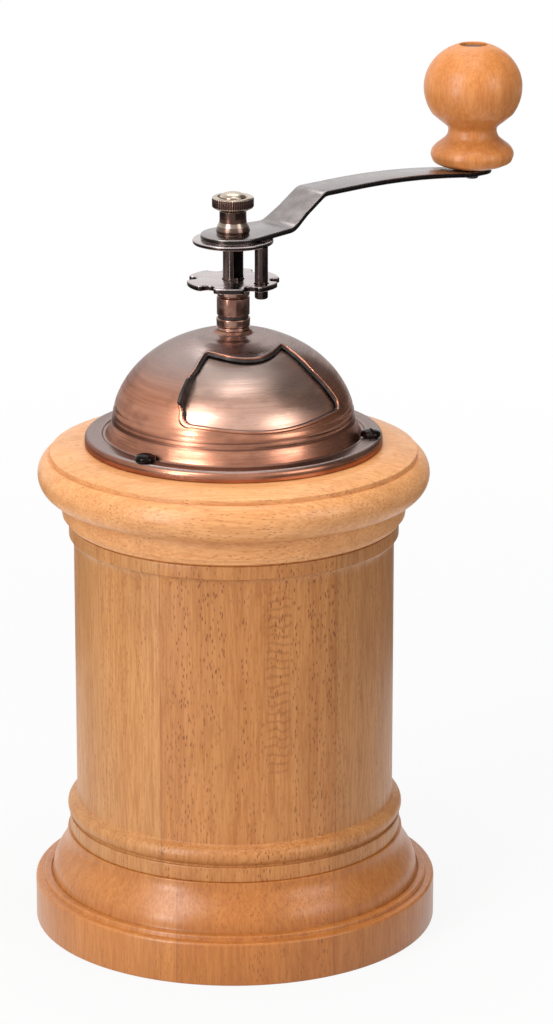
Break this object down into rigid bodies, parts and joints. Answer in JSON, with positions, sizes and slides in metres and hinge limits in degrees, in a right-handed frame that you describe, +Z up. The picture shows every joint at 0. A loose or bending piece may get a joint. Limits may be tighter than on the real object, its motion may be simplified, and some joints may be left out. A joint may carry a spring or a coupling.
{
  "type": "manual coffee grinder",
  "caption": "Turned beech column coffee grinder with a copper dome hopper, sliding shutter, adjusting star and cranked handle with a ball knob.",
  "frame": {"origin": "centre of the base's underside, on the spindle's axis", "axes": "+Z up along the spindle, -Y towards the front with the hopper's window, +X to the right"},
  "size_m": [0.1485, 0.1435, 0.2546],
  "materials": {
    "beech_column": "satin lacquer",
    "beech_base": "satin lacquer",
    "beech_ring": "satin lacquer",
    "beech_knob": "satin lacquer",
    "antique_copper": "antiqued copper, lightly brushed",
    "dark_bronze": "dark antiqued plating",
    "antique_steel": "antiqued satin",
    "bright_steel": "plain",
    "burr_steel": "hardened",
    "tinned_steel": "tinned"
  },
  "bodies": {
    "column": {"column_body": "beech_column", "base_plinth": "beech_base"},
    "head": {"head_ring": "beech_ring", "hopper_dome": "antique_copper", "hopper_funnel": "tinned_steel", "top_bush": "dark_bronze", "bush_nut": "dark_bronze", "shutter_washer": "bright_steel", "outer_burr": "burr_steel", "burr_carrier": "bright_steel", "burr_bridge": "burr_steel", "spindle_spring": "bright_steel", "dome_screw_1": "dark_bronze", "dome_screw_2": "dark_bronze", "dome_screw_3": "dark_bronze", "carrier_screw_1": "bright_steel", "carrier_screw_2": "bright_steel", "carrier_screw_3": "bright_steel", "bridge_screw_1": "bright_steel", "bridge_screw_2": "bright_steel"},
    "shutter": {"shutter": "antique_copper"},
    "spindle": {"shaft": "dark_bronze", "inner_burr": "burr_steel", "end_washer": "bright_steel", "end_nut": "bright_steel", "spring_seat": "bright_steel", "spring_clip": "bright_steel", "thrust_washer": "bright_steel", "grind_star": "dark_bronze"},
    "handle": {"crank_arm": "antique_steel", "stopper_disc": "antique_steel", "stopper_pin": "dark_bronze", "knob_pin": "dark_bronze", "knob_washer": "antique_steel"},
    "cap_nut": {"cap_nut": "dark_bronze"},
    "knob": {"knob": "beech_knob"}
  },
  "joints": [
    {"name": "head_lift", "type": "slide", "parent": "column", "child": "head", "axis": [0, 0, 1], "range_m": [0, 0.06]},
    {"name": "shutter_slide", "type": "hinge", "parent": "head", "child": "shutter", "pos_m": [0, 0, 0.178], "axis": [0, 0, 1], "range_deg": [0, 88]},
    {"name": "crank_turn", "type": "hinge", "parent": "head", "child": "spindle", "pos_m": [0, 0, 0.16], "axis": [0, 0, 1], "continuous": true},
    {"name": "handle_lift", "type": "slide", "parent": "spindle", "child": "handle", "axis": [0, 0, 1], "range_m": [0, 0.03]},
    {"name": "cap_nut_turn", "type": "hinge", "parent": "handle", "child": "cap_nut", "pos_m": [0, 0, 0.2107], "axis": [0, 0, 1], "continuous": true},
    {"name": "knob_turn", "type": "hinge", "parent": "handle", "child": "knob", "pos_m": [0.07314, 0.0682, 0.2164], "axis": [0, 0, 1], "continuous": true}
  ]
}
